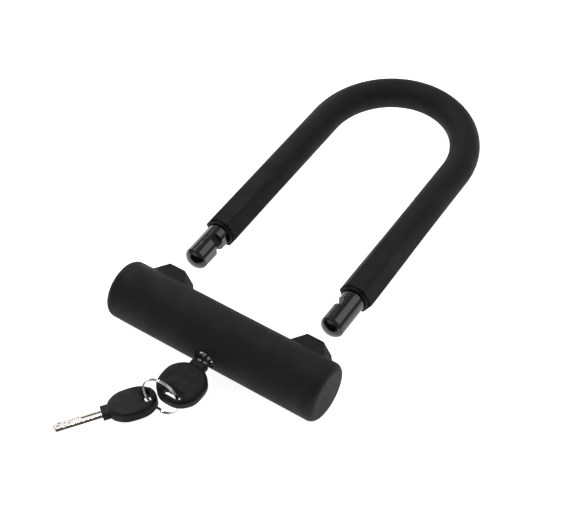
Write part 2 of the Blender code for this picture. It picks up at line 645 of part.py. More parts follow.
def bolt(name, side, finish, body):
    """A sliding plate: a slotted tail on the cam's pin, a bar in the guide, and a nose at the leg."""
    nose_top = NOSE_Y + NOSE_WIDTH / 2
    nose_low = NOSE_Y - NOSE_WIDTH / 2
    outer = STEM_X - NOSE_STEM
    root = outer - 2 * BOLT_LAP
    outline = [(root, BOLT_Y), (STEM_X, BOLT_Y), (STEM_X, nose_low), (NOSE_TIP_X, nose_low),
               (NOSE_TIP_X, nose_top), (outer + NOSE_CHAMFER, nose_top), (outer, nose_top - NOSE_CHAMFER),
               (outer, BOLT_REAR_Y), (root, BOLT_REAR_Y)]
    nose = plate(mirrored_x(outline, side), -NOSE_HALF_HEIGHT, NOSE_HALF_HEIGHT)
    made = mesh_object(name, nose, finish, body)
    bar_x = sorted((side * BOLT_BAR_X, side * (outer - BOLT_LAP)))
    tail_x = sorted((-side * TAIL_REACH, side * TAIL_END_X))
    tail_z = sorted((side * GAP, side * BOLT_TAIL_HEIGHT))
    join(made, box((bar_x[0], BOLT_Y, -BOLT_HALF_HEIGHT), (bar_x[1], BOLT_REAR_Y, BOLT_HALF_HEIGHT)),
         box((tail_x[0], BOLT_Y, tail_z[0]), (tail_x[1], BOLT_REAR_Y, tail_z[1])))
    slot_x = sorted((side * (-CRANK_OFFSET - CRANK_PLAY), side * (-CRANK_OFFSET + CRANK_PLAY)))
    slot_z = sorted((side * (CRANK_OFFSET - CRANK_PLAY), side * (CRANK_RADIUS + CRANK_PLAY)))
    low, high = BOLT_Y - OVERCUT, BOLT_REAR_Y + OVERCUT
    cut(made, box((slot_x[0], low, slot_z[0]), (slot_x[1], high, slot_z[1])))
    return made


def bolt_guide(name, side, finish, body):
    """A plug of the tube's bore with a channel for the bolt."""
    x = sorted((side * GUIDE_INNER_X, side * GUIDE_OUTER_X))
    guide = mesh_object(name, rod(x[0], x[1], FILL_RADIUS, X, segments=48), finish, body)
    low, high = BOLT_Y - GAP, BOLT_REAR_Y + GAP
    half = BOLT_HALF_HEIGHT + GAP
    core = Vector((0, GUIDE_CORE_Y, 0))
    start, end = x[0] - OVERCUT, x[1] + OVERCUT
    cut(guide, box((start, low, -half), (end, high, half)), rod(start, end, GUIDE_CORE_RADIUS, X, core, 24))
    return guide


# Keys and ring

def blade_mesh():
    """The key's steel in the key's own frame: neck face at zero, blade along +Y, tang inside the bow."""
    half, tip = BLADE_HALF_WIDTH, BLADE_TIP_HALF_WIDTH
    shoulder = BLADE_LENGTH - BLADE_POINT
    outline = [(-half, -BLADE_TANG), (half, -BLADE_TANG), (half, shoulder), (tip, BLADE_LENGTH),
               (-tip, BLADE_LENGTH), (-half, shoulder)]
    return plate(outline, -BLADE_THICKNESS / 2, BLADE_THICKNESS / 2)


def blade_cuts():
    cuts = []
    for side in (-1, 1):
        z = sorted((side * (BLADE_THICKNESS / 2 - GROOVE_DEPTH), side * BLADE_THICKNESS))
        cuts.append(box((-GROOVE_HALF_WIDTH, GROOVE_START, z[0]), (GROOVE_HALF_WIDTH, GROOVE_LENGTH, z[1])))
        for number in range(DIMPLES):
            across = side * DIMPLE_OFFSET * (-1) ** number
            place = Vector((across, GROOVE_LENGTH + DIMPLE_FIRST + DIMPLE_PITCH * number, 0))
            cuts.append(rod(z[0], z[1], DIMPLE_RADIUS, Z, place, 10))
    return cuts


def bow_outline(scale, points=40):
    outline = []
    for i in range(points):
        a = i * math.tau / points
        wide, long = abs(math.cos(a)) / BOW_HALF_WIDTH, abs(math.sin(a)) / BOW_HALF_LENGTH
        r = scale * (wide ** BOW_SQUARENESS + long ** BOW_SQUARENESS) ** (-1 / BOW_SQUARENESS)
        outline.append((r * math.cos(a), BOW_MIDDLE_Y + r * math.sin(a)))
    return outline


def stadium(half_length, half_width, y, points=8):
    """A slot's outline across the key, with round ends."""
    straight = half_length - half_width
    right = [(-math.pi / 2 + i * math.pi / points) for i in range(points + 1)]
    outline = [(straight + half_width * math.cos(a), y + half_width * math.sin(a)) for a in right]
    return outline + [(-x, 2 * y - v) for x, v in outline]


def key_pieces(prefix, matrix, steel, plastic, body):
    """A blade and a bow, placed by matrix."""
    blade = mesh_object(f"{prefix}_blade", moved(blade_mesh(), matrix), steel, body)
    cut(blade, *[moved(shape, matrix) for shape in blade_cuts()])
    thick = BOW_HALF_THICKNESS
    rings = [[Vector((x, y, share * thick)) for x, y in bow_outline(scale)] for share, scale in BOW_LEVELS]
    bow = mesh_object(f"{prefix}_bow", moved(loft(rings), matrix), plastic, body)
    root = -NECK_LENGTH - NECK_ROOT
    neck = box((-NECK_HALF_WIDTH, root, -NECK_HALF_HEIGHT), (NECK_HALF_WIDTH, 0, NECK_HALF_HEIGHT))
    join(bow, moved(neck, matrix))
    half_x, half_z = BLADE_HALF_WIDTH + GAP, BLADE_THICKNESS / 2 + GAP
    pocket = box((-half_x, -BLADE_TANG - GAP, -half_z), (half_x, OVERCUT, half_z))
    slot = plate(stadium(BOW_SLOT_HALF_LENGTH, BOW_SLOT_HALF_WIDTH, BOW_SLOT_Y), -2 * thick, 2 * thick)
    cut(bow, moved(pocket, matrix), moved(slot, matrix))


def ring_frame():
    """The ring's own frame: its axis along Y."""
    turn = Matrix.Rotation(-RING_TURN, 4, "Z") @ Matrix.Rotation(RING_LEAN, 4, "X")
    return Matrix.Translation(NECK_Y * Y) @ Matrix.Translation(RING_CENTRE) @ turn


def split_ring(finish, body):
    """Two turns of wire, side by side."""
    steps = 44
    points = []
    for i in range(2 * steps + 1):
        a = i / steps * math.tau - math.pi / 2
        along = (i / steps - 1) * RING_PITCH
        points.append(ring_frame() @ Vector((RING_RADIUS * math.cos(a), along, RING_RADIUS * math.sin(a))))
    return mesh_object("split_ring", tube_along(points, RING_WIRE_RADIUS, 6), finish, body)


def spare_frame():
    turn = Matrix.Rotation(SPARE_YAW, 4, "Z") @ Matrix.Rotation(SPARE_PITCH, 4, "X")
    place = Matrix.Translation(NECK_Y * Y) @ Matrix.Translation(SPARE_NECK)
    return place @ turn @ Matrix.Rotation(SPARE_ROLL, 4, "Y")


def stand_on_ground(root):
    """Puts the lock's lowest point at zero height, and the middle of its outline over the origin."""
    bpy.context.view_layer.update()
    graph = bpy.context.evaluated_depsgraph_get()
    corners = []
    for obj in bpy.data.objects:
        if obj.type != "MESH" or obj.hide_render:
            continue
        shape = obj.evaluated_get(graph)
        mesh = shape.to_mesh()
        points = np.empty(len(mesh.vertices) * 3)
        mesh.vertices.foreach_get("co", points)
        place = np.array(shape.matrix_world)
        points = points.reshape(-1, 3) @ place[:3, :3].T + place[:3, 3]
        corners += [points.min(0), points.max(0)]
        shape.to_mesh_clear()
    low, high = np.min(corners, 0), np.max(corners, 0)
    middle = (low + high) / 2
    root.location = (-middle[0], -middle[1], -low[2])


def main():
    clear_scene()
    soft_black = material("soft_touch_black", (0.016, 0.016, 0.018), 0.55)
    gloss_black = material("black_steel", (0.02, 0.02, 0.022), 0.18, 0.6)
    matte_black = material("black_plastic", (0.018, 0.018, 0.02), 0.45)
    steel = material("bright_steel", (0.58, 0.58, 0.6), 0.3, 1.0)
    hard_steel = material("hard_steel", (0.3, 0.3, 0.32), 0.4, 1.0)
    brass = material("brass", (0.6, 0.45, 0.18), 0.3, 1.0)
    nickel = material("nickel", (0.62, 0.61, 0.59), 0.22, 1.0)

    root = empty("lock_frame", Vector((0, 0, 0)))
    shackle = empty("shackle_axis", Vector((0, COLLAR_FACE_Y, 0)), root)
    plug = empty("plug_axis", Vector((0, PLUG_FRONT_Y, 0)), root)
    right = empty("bolt_right_axis", Vector((GUIDE_INNER_X, BOLT_Y, 0)), root)
    left = empty("bolt_left_axis", Vector((-GUIDE_INNER_X, BOLT_Y, 0)), root)
    key = empty("key_axis", Vector((0, NECK_Y, 0)), plug)
    ring = empty("ring_hinge", Vector((RING_HOOK_X, NECK_Y + RING_HOOK_Y, 0)), key)
    spare = empty("spare_hinge", spare_frame() @ Vector((SPARE_HOOK_X, BOW_SLOT_Y, 0)), ring)

    shackle_bar(gloss_black, shackle)
    shackle_sleeve(soft_black, shackle)
    crossbar_cover(soft_black, root)
    crossbar_tube(hard_steel, root)
    for name, side in (("left", -1), ("right", 1)):
        sleeve_ring(f"sleeve_ring_{name}", side, matte_black, shackle)
        end_cap(f"end_cap_{name}", side, soft_black, root)
        end_plug(f"end_plug_{name}", side, hard_steel, root)
        end_pin(f"end_pin_{name}", side, steel, root)
        leg_socket(f"leg_socket_{name}", side, hard_steel, root)
        bolt_guide(f"bolt_guide_{name}", side, matte_black, root)
    bolt("bolt_left", -1, hard_steel, left)
    bolt("bolt_right", 1, hard_steel, right)
    lock_housing(steel, root)
    pin_cover(steel, root)
    keyhole_bezel(matte_black, root)
    lock_plug(nickel, plug)
    plug_clip(hard_steel, plug)
    drive_cam(hard_steel, plug)
    for number, place in enumerate(stack_places(), 1):
        pin_stack(number, place, steel, brass, root, plug)
    key_pieces("key", Matrix.Translation((0, NECK_Y, 0)), nickel, matte_black, key)
    split_ring(nickel, ring)
    key_pieces("spare", spare_frame(), nickel, matte_black, spare)
    stand_on_ground(root)


main()
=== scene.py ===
"""Looks of a bicycle U lock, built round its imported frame: soft-touch sleeve and crossbar cover, black
lacquered bar ends, two moulded key bows with nickel-silver blades, and a split ring.

Shapes are worked out in millimetres in the lock frame: X along the crossbar, +Y along the shackle's legs,
+Z up, zero on the crossbar's axis.
"""
import json
import math

import bpy
import numpy as np
from mathutils import Matrix, Vector


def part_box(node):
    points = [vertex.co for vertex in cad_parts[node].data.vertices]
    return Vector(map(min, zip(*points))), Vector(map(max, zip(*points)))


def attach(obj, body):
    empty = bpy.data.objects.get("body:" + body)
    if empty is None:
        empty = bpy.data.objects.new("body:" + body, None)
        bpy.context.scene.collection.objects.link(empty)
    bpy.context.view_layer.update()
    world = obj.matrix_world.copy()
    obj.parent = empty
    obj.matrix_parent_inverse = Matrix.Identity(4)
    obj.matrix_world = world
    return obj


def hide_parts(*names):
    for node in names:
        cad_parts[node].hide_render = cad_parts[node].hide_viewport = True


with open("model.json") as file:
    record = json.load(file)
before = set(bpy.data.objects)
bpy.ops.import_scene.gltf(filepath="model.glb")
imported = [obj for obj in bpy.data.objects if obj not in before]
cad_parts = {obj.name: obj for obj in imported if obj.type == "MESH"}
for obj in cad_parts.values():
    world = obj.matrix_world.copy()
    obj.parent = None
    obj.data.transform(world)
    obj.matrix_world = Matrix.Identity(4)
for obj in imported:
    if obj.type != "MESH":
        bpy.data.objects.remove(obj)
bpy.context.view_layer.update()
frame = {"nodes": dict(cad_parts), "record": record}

MM = 0.001
cap_low, cap_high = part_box("end_cap_left")
# Zero of the lock frame in the world: the crossbar's axis runs through the middle of its round cap
LOCK_ZERO = np.array([0, (cap_low.y + cap_high.y) / 2, (cap_low.z + cap_high.z) / 2])
UP = np.array([0.0, 0.0, 1.0])
SIDES = (("left", -1), ("right", 1))

# Crossbar, in millimetres
COVER_RADIUS = 20.0
COVER_BORE = 17.9
COVER_STEP = 1.1                    # length of a mesh row
COVER_COLUMNS = 144
CAP_SEAM = 73.7
CAP_SEAM_GAP = 0.06
CAP_BEVEL = 0.1
SPIGOT_END = 71.1                   # how far into the tube the caps reach
SPIGOT_RADIUS = 15.0
HALF_LENGTH = 79.7
RIM_ROUND = 4.8
BOSS_END = 26.5
BOSS_EDGE = 0.8
BOSS_APOTHEM = 10.9
BOSS_FOOT_Y = 12.0
BOSS_FOOT = (25.2, 14.9, 12.0)      # half width at mid height, half width on top, half height
BOSS_FILLET = 1.5
BOSS_WINDOW_OUT = 19.0              # the window in the cover's mesh, from the leg's axis to its outer end
BOSS_WINDOW_IN = 28.0
BOSS_WINDOW_SPAN = 22               # columns to each side
SOCKET_MOUTH = 8.95
SOCKET_LIP = 0.5
SOCKET_SEAT = 10.55                 # counterbore that takes the socket
SOCKET_SEAT_Y = 22.7
NOSE_HOLE = 7.3
NOSE_LIP = 0.35
NOSE_WINDOW = 12.0
NOSE_WINDOW_SPAN = 14

# Shackle
LEG_X = 53.75
BAR_RADIUS = 8.3
BEND_START = 210.5
BEND_HEIGHT = 58.6
TIP_Y = 41.5
TIP_DOME = 4.6
TIP_ELLIPSE = 5.5                   # height the dome would have if it ran on until it met the bar smoothly
FLAT_DEPTH = 1.1
FLAT_END = 50.0
NOTCH_MIDDLE = 21.5                 # from the tip
NOTCH_HALF = 3.2
NOTCH_DEPTH = 6.4
SLEEVE_END = 74.8
SLEEVE_APOTHEM = 10.9
SLEEVE_SHARPNESS = 34               # of the hexagon's soft corners
SLEEVE_ROUND = 10.9
SLEEVE_EDGE = 0.7
SLEEVE_BORE = 8.6
COLLAR_RADIUS = 9.9
COLLAR_FACE = 73.0
COLLAR_LENGTH = 4.0
COLLAR_EDGE = 0.45
COLLAR_BACK_EDGE = 0.2
COLLAR_GAP = 0.3                    # free air round the collar in the sleeve's counterbore
COUNTERBORE_BEVEL = 0.25

# Studio
TABLE_GLOW = 0.85
ROOM_LIGHT = 0.34
TABLE_GAP = 0.0004                  # keeps the table's face clear of the lock's lowest faces, in metres

# Keys and ring
BLADE_LENGTH = 31.0
BLADE_HALF_WIDTH = 4.0
BLADE_HALF_THICKNESS = 1.2
BLADE_TANG = 14.0
BLADE_POINT = 2.6
BLADE_TIP_HALF_WIDTH = 1.9
BLADE_SHOULDER = 0.3                # rounding along the blade's edges
CUT_DEPTH = 0.5
DIMPLES = ((-0.7, 20.6, 0.75), (0.7, 23.4, 0.7), (1.9, 26.4, 0.8), (-0.6, 27.6, 0.75))    # x, y, radius
NECK_HALF_WIDTH = 5.7
NECK_HALF_HEIGHT = 2.6
NECK_ROOT = -10.3
NECK_EDGE = 0.45
NECK_SHARPNESS = 7
BOW_HALF_WIDTH = 15.3
BOW_HALF_LENGTH = 15.8
BOW_HALF_THICKNESS = 3.6
BOW_SIDE_HALF = 1.7                 # half height of the bow's straight side wall
BOW_EDGE = 0.18                     # share of the outline taken by the rounded edge
BOW_DIAGONAL = 16.2                 # middle to each of the four slanting sides
BOW_SHARPNESS = 10                  # of the outline's eight soft corners
BOW_CROWN = 0.12
BOW_MIDDLE = -19.9
SLOT_Y = -29.7
SLOT_HALF_LENGTH = 6.8
SLOT_HALF_WIDTH = 2.2
SLOT_RECESS = 0.6                   # depth of the dished surround
SLOT_RECESS_WIDTH = 1.7
SLOT_LIP = 0.4
NECK_PLACE = (0.0, -23.0, 0.0)
RING_RADIUS = 13.2
RING_WIRE = 0.5
RING_PITCH = 1.06
RING_CENTRE = (-8.5, -54.3, -5.0)
RING_LEAN = math.radians(-8.0)
RING_TURN = math.radians(-4.3)
SPARE_PLACE = (-33.8, -82.0, -9.9)
SPARE_YAW = math.radians(143.1)
SPARE_PITCH = math.radians(-1.4)
SPARE_ROLL = math.radians(22.3)


# Materials

NOISE_LOW, NOISE_HIGH = 0.35, 0.65    # nearly all of a noise's values lie between these


def linear(hex_colour):
    """sRGB hex to linear RGBA."""
    parts = [int(hex_colour[i:i + 2], 16) / 255 for i in (1, 3, 5)]
    return [v / 12.92 if v <= 0.04045 else ((v + 0.055) / 1.055) ** 2.4 for v in parts] + [1.0]


def add(tree, kind, settings=None, links=None):
    """One node, with its settings (attributes or input values) and the sockets that feed its inputs."""
    node = tree.nodes.new(kind)
    for name, value in (settings or {}).items():
        if name in node.inputs:
            node.inputs[name].default_value = value
        else:
            setattr(node, name, value)
    for name, source in (links or {}).items():
        tree.links.new(source, node.inputs[name])
    return node


def material(name, **surface):
    """A new material with the given constants on its shader's sockets."""
    made = bpy.data.materials.new(name)
    made.use_nodes = True
    shader = made.node_tree.nodes["Principled BSDF"]
    for socket, value in surface.items():
        shader.inputs[socket.replace("_", " ")].default_value = value
    return made, made.node_tree, shader


def lumps(tree, size_mm, detail, squeeze=(1, 1, 1)):
    """Noise with lumps of about size_mm, made so many times shorter along X, Y and Z as squeeze says."""
    place = add(tree, "ShaderNodeTexCoord")
    scaled = add(tree, "ShaderNodeMapping", {"Scale": squeeze}, {"Vector": place.outputs["Object"]})
    noise = add(tree, "ShaderNodeTexNoise", {"Scale": 1 / (size_mm * MM), "Detail": detail},
                {"Vector": scaled.outputs["Vector"]})
    return noise.outputs["Fac"]


def grain(tree, shader, size_mm, depth_mm, detail=3.0, squeeze=(1, 1, 1)):
    """Fine relief: lumps of about size_mm, as a bump of depth_mm."""
    height = lumps(tree, size_mm, detail, squeeze)
    bump = add(tree, "ShaderNodeBump", {"Distance": depth_mm * MM, "Strength": 1.0}, {"Height": height})
    tree.links.new(bump.outputs["Normal"], shader.inputs["Normal"])
    return height


def spread(tree, source, low, high, socket):
    """Feeds socket a number from low to high as a noise goes through its range."""
    scaled = add(tree, "ShaderNodeMapRange",
                 {"From Min": NOISE_LOW, "From Max": NOISE_HIGH, "To Min": low, "To Max": high},
                 {"Value": source})
    tree.links.new(scaled.outputs["Result"], socket)


def tint(tree, source, dark, light, socket):
    """Feeds socket a colour from dark to light, both hex, as a noise goes through its range."""
    ramp = add(tree, "ShaderNodeValToRGB", None, {"Fac": source})
    for stop, position, colour in zip(ramp.color_ramp.elements, (NOISE_LOW, NOISE_HIGH), (dark, light)):
        stop.position = position
        stop.color = linear(colour)
    tree.links.new(ramp.outputs["Color"], socket)


def soft_touch():
    """Thermoplastic elastomer with a soft-touch skin, moulded in a blasted tool: deep even black that barely
    shines, with a grain of about 0.1 mm, drawn at 0.35 mm to show."""
    made, tree, shader = material("soft_touch_elastomer", IOR=1.42, Roughness=0.74, Specular_IOR_Level=0.4)
    grain(tree, shader, 0.35, 0.012, detail=2.0)
    patches = lumps(tree, 14, detail=4.0)
    spread(tree, patches, 0.68, 0.8, shader.inputs["Roughness"])
    tint(tree, patches, "#0c0c0d", "#111113", shader.inputs["Base Color"])
    return made


def black_lacquer():
    """Hardened steel under gloss black lacquer: near black, with sharp reflections softened by faint marks
    from the sleeve and the sockets that run along the leg."""
    made, tree, shader = material("black_lacquered_steel", IOR=1.55, Roughness=0.14)
    noise = grain(tree, shader, 0.8, 0.0012, detail=4.0, squeeze=(2, 0.3, 2))
    spread(tree, noise, 0.1, 0.2, shader.inputs["Roughness"])
    tint(tree, noise, "#09090a", "#0d0d0f", shader.inputs["Base Color"])
    return made


def moulded_abs():
    """ABS moulded in a spark-eroded tool: matte black with a pebble grain of about 0.15 mm, drawn at 0.4 mm
    to show."""
    made, tree, shader = material("moulded_abs", IOR=1.5, Roughness=0.62, Specular_IOR_Level=0.22)
    grain(tree, shader, 0.4, 0.02, detail=2.0)
    patches = lumps(tree, 6, detail=3.0)
    spread(tree, patches, 0.56, 0.68, shader.inputs["Roughness"])
    tint(tree, patches, "#0a0a0b", "#0e0e10", shader.inputs["Base Color"])
    return made


def nickel_silver():
    """Nickel silver, rolled and milled: warm white metal with faint brushing. What the cutter took away,
    given by a blade's cut attribute, is duller, and is painted dark grey there as painted shade in the
    grooves and dimples."""
    made, tree, shader = material("nickel_silver", Metallic=1.0, Roughness=0.24)
    noise = grain(tree, shader, 0.5, 0.0006, detail=3.0, squeeze=(1, 0.25, 1))
    cut = add(tree, "ShaderNodeAttribute", {"attribute_name": "cut"}).outputs["Fac"]
    mixed = add(tree, "ShaderNodeMix", {"data_type": "RGBA"})
    share, clean, painted_cut_shade = mixed.inputs[0], mixed.inputs[6], mixed.inputs[7]
    tree.links.new(cut, share)
    tint(tree, noise, "#dcd9d3", "#e6e4df", clean)
    # painted shade: the cut attribute mixes the colour towards this dark grey in the cuts, standing in for
    # the shade in the grooves
    painted_cut_shade.default_value = linear("#4f4b45")
    tree.links.new(mixed.outputs[2], shader.inputs["Base Color"])
    dull = add(tree, "ShaderNodeMapRange", {"To Min": 0.2, "To Max": 0.42}, {"Value": cut})
    tree.links.new(dull.outputs["Result"], shader.inputs["Roughness"])
    return made


def bright_nickel():
    """Spring steel under bright nickel plate: a clean mirror, softened by fine drawing marks."""
    made, tree, shader = material("bright_nickel_plate", Metallic=1.0, Roughness=0.12)
    noise = grain(tree, shader, 0.3, 0.001, detail=3.0)
    spread(tree, noise, 0.08, 0.16, shader.inputs["Roughness"])
    tint(tree, noise, "#cfcdc9", "#dcdad7", shader.inputs["Base Color"])
    return made


def tool_steel():
    """Hardened tool steel, ground: dark grey with grinding lines."""
    made, tree, shader = material("hardened_tool_steel", Metallic=1.0, Roughness=0.35)
    noise = grain(tree, shader, 0.4, 0.004, detail=5.0, squeeze=(0.2, 2, 2))
    spread(tree, noise, 0.28, 0.42, shader.inputs["Roughness"])
    tint(tree, noise, "#77787b", "#85868a", shader.inputs["Base Color"])
    return made


def zinc_plate():
    """Turned steel under bright zinc: light grey, a little cloudy."""
    made, tree, shader = material("zinc_plated_steel", Metallic=1.0, Roughness=0.3)
    noise = grain(tree, shader, 0.6, 0.003, detail=4.0)
    spread(tree, noise, 0.24, 0.36, shader.inputs["Roughness"])
    tint(tree, noise, "#b9bcc0", "#c8cacd", shader.inputs["Base Color"])
    return made


def turned_brass():
    """Free-cutting brass, turned: yellow metal with fine rings."""
    made, tree, shader = material("turned_brass", Metallic=1.0, Roughness=0.25)
    noise = grain(tree, shader, 0.3, 0.003, detail=3.0, squeeze=(0.3, 0.3, 3))
    spread(tree, noise, 0.2, 0.32, shader.inputs["Roughness"])
    tint(tree, noise, "#c9a55a", "#d6b468", shader.inputs["Base Color"])
    return made


def studio_table():
    """White opal acrylic table lit from beneath, so that what stands on it throws only a faint shadow."""
    made, tree, shader = material("opal_acrylic_table", Roughness=0.9, Specular_IOR_Level=0.1)
    noise = grain(tree, shader, 1.5, 0.01)
    tint(tree, noise, "#f4f4f4", "#f8f8f8", shader.inputs["Base Color"])
    shader.inputs["Emission Color"].default_value = (1, 1, 1, 1)
    shader.inputs["Emission Strength"].default_value = TABLE_GLOW
    return made


FINISH = {
    "soft_touch_black": soft_touch(),
    "black_steel": black_lacquer(),
    "black_plastic": moulded_abs(),
    "nickel": nickel_silver(),
    "hard_steel": tool_steel(),
    "bright_steel": zinc_plate(),
    "brass": turned_brass(),
}
RING_FINISH = bright_nickel()


# Meshes

def oriented(points, faces):
    """Turns a closed skin's faces over if the volume they enclose comes out negative."""
    fans = [(face[0], face[i], face[i + 1]) for face in faces for i in range(1, len(face) - 1)]
    first, second, third = points[np.array(fans)].transpose(1, 0, 2)
    volume = (first * np.cross(second, third)).sum()
    return faces if volume > 0 else [face[::-1] for face in faces]


def quads_between(lower, upper):
    """Faces from one row of point numbers to the next, round closed columns."""
    return np.stack([lower, np.roll(lower, -1, -1), np.roll(upper, -1, -1), upper], -1).reshape(-1, 4)


def skin(grid, closed=False):
    """A grid of rows of points, each row a closed loop. The rows close on themselves, or end in a point at
    the middle of the first and the last row."""
    rows, columns = grid.shape[:2]
    number = np.arange(rows * columns).reshape(rows, columns)
    points = grid.reshape(-1, 3)
    if closed:
        return points, oriented(points, quads_between(number, np.roll(number, -1, 0)).tolist())
    faces = quads_between(number[:-1], number[1:]).tolist()
    points = np.vstack([points, grid[0].mean(0), grid[-1].mean(0)])
    for row, pole, turn in ((number[0], rows * columns, -1), (number[-1], rows * columns + 1, 1)):
        fan = np.stack([row, np.roll(row, -1), np.full(columns, pole)], -1)
        faces += fan[:, ::turn].tolist()
    return points, oriented(points, faces)


def piece(name, body, slot, skins, stands_for, sharp=38.0, finish=None, cut=None):
    """An object from one or more skins in lock millimetres, riding on a body. Edges past the sharp angle, in
    degrees, stay sharp; cut says how deep each point was milled, from 0 to 1."""
    points, faces = np.zeros((0, 3)), []
    for skin_points, skin_faces in skins:
        faces += [[i + len(points) for i in face] for face in skin_faces]
        points = np.vstack([points, skin_points])
    mesh = bpy.data.meshes.new(name)
    mesh.from_pydata((points * MM + LOCK_ZERO).tolist(), [], faces)
    if cut is not None:
        mesh.attributes.new("cut", "FLOAT", "POINT").data.foreach_set("value", cut)
    mesh.shade_smooth()
    mesh.set_sharp_from_angle(angle=math.radians(sharp))
    mesh.materials.append(finish or FINISH[slot])
    made = bpy.data.objects.new(name, mesh)
    bpy.context.scene.collection.objects.link(made)
    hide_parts(*stands_for)
    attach(made, body)


def rounded(corners, steps=6):
    """A line through corners given as (along, out, cut): each corner is cut by a quadratic curve that starts
    and ends the cut's length away from it."""
    corners = np.array(corners, float)
    points = [corners[:1, :2]]
    for i in range(1, len(corners) - 1):
        here, cut = corners[i, :2], corners[i, 2]
        before, after = corners[i - 1, :2] - here, corners[i + 1, :2] - here
        start = here + before / np.linalg.norm(before) * cut
        end = here + after / np.linalg.norm(after) * cut
        t = np.linspace(0, 1, steps if cut else 1)[:, None]
        points.append((1 - t) ** 2 * start + 2 * (1 - t) * t * here + t * t * end)
    return np.vstack(points + [corners[-1:, :2]])


def turned(profile, axis, centre, columns=96):
    """Rings round an axis: each row stands at the profile's distance along it, at the profile's radius."""
    axis, centre = np.array(axis, float), np.array(centre, float)
    side = np.array([0.0, 1.0, 0.0]) if abs(axis[0]) > 0.5 else np.array([1.0, 0.0, 0.0])
    other = np.cross(axis, side)
    angle = np.linspace(0, math.tau, columns, endpoint=False)
    ring = np.cos(angle)[:, None] * side + np.sin(angle)[:, None] * other
    return centre + profile[:, :1, None] * axis + profile[:, 1:, None] * ring


def swept(centre, heading, radius, angle):
    """Rows across a path: radius (row, column) at angle (column), from the path's inner side round to its
    top."""
    side = np.cross(heading, UP)
    across = radius * np.cos(angle)
    return centre[:, None] + across[..., None] * side[:, None] + (radius * np.sin(angle))[..., None] * UP


# Shackle

def u_route(stations, bend_steps):
    """The U's centre line, its heading and how far up the leg each row stands. stations are the Y of rows on
    both legs; the bend is half an ellipse."""
    y = np.asarray(stations, float)
    turn = np.linspace(math.pi, 0, bend_steps)
    zero, one = np.zeros_like(y), np.ones_like(y)
    left = np.stack([-LEG_X * one, y, zero], 1)
    bend = np.stack([LEG_X * np.cos(turn), BEND_START + BEND_HEIGHT * np.sin(turn), 0 * turn], 1)
    right = left[::-1] * [-1, 1, 1]
    heading = np.stack([LEG_X * np.sin(turn), -BEND_HEIGHT * np.cos(turn), 0 * turn], 1)
    heading /= np.linalg.norm(heading, axis=1)[:, None]
    headings = np.vstack([np.stack([zero, one, zero], 1), heading, np.stack([zero, -one, zero], 1)])
    height = np.concatenate([y, np.full(bend_steps, BEND_START), y[::-1]])
    return np.vstack([left, bend, right]), headings, height


def hexagon(angle, apothem):
    """Radius of a hexagon with flats up and down and corners slightly rounded: the apothem over a power mean
    of the cosines to its six flats."""
    flats = np.radians(np.arange(30, 390, 60))
    cosines = np.maximum(np.cos(angle[:, None] - flats), 0)
    return apothem * (cosines ** SLEEVE_SHARPNESS).sum(1) ** (-1 / SLEEVE_SHARPNESS)


def shackle_sleeve():
    """Hexagonal legs that fade to a round bend, a rounded end edge, and a counterbore round each collar."""
    angle = np.linspace(0, math.tau, 120, endpoint=False)
    edge = SLEEVE_END + SLEEVE_EDGE * (1 - np.cos(np.linspace(0, math.pi / 2, 6)))
    legs = np.linspace(SLEEVE_END + SLEEVE_EDGE, BEND_START, 70, endpoint=False)
    centre, heading, height = u_route(np.concatenate([edge[:-1], legs]), 110)
    share = np.clip((height - SLEEVE_END) / (BEND_START - SLEEVE_END), 0, 1)
    fade = (share ** 2 * (3 - 2 * share))[:, None]
    radius = hexagon(angle, SLEEVE_APOTHEM) * (1 - fade) + SLEEVE_ROUND * fade
    inward = np.clip(1 - (height - SLEEVE_END) / SLEEVE_EDGE, 0, 1)
    radius = radius - (SLEEVE_EDGE * (1 - np.sqrt(1 - inward ** 2)))[:, None]
    outer = swept(centre, heading, radius, angle)
    seat = COLLAR_FACE + COLLAR_LENGTH + COLLAR_GAP
    plain = np.linspace(seat + 5, BEND_START, 12)
    centre, heading = u_route([SLEEVE_END, SLEEVE_END + COUNTERBORE_BEVEL, seat, seat, *plain], 40)[:2]
    counterbore = COLLAR_RADIUS + COLLAR_GAP
    bore = np.full(len(centre), SLEEVE_BORE)
    bore[[0, -1]] = counterbore + COUNTERBORE_BEVEL
    bore[[1, 2, -2, -3]] = counterbore
    inner = swept(centre, heading, bore[:, None] * np.ones_like(angle), angle)
    walls = skin(np.concatenate([outer, inner[::-1]]), closed=True)
    piece("sleeve_soft", "shackle", "soft_touch_black", [walls], ["shackle_sleeve"], sharp=42.0)


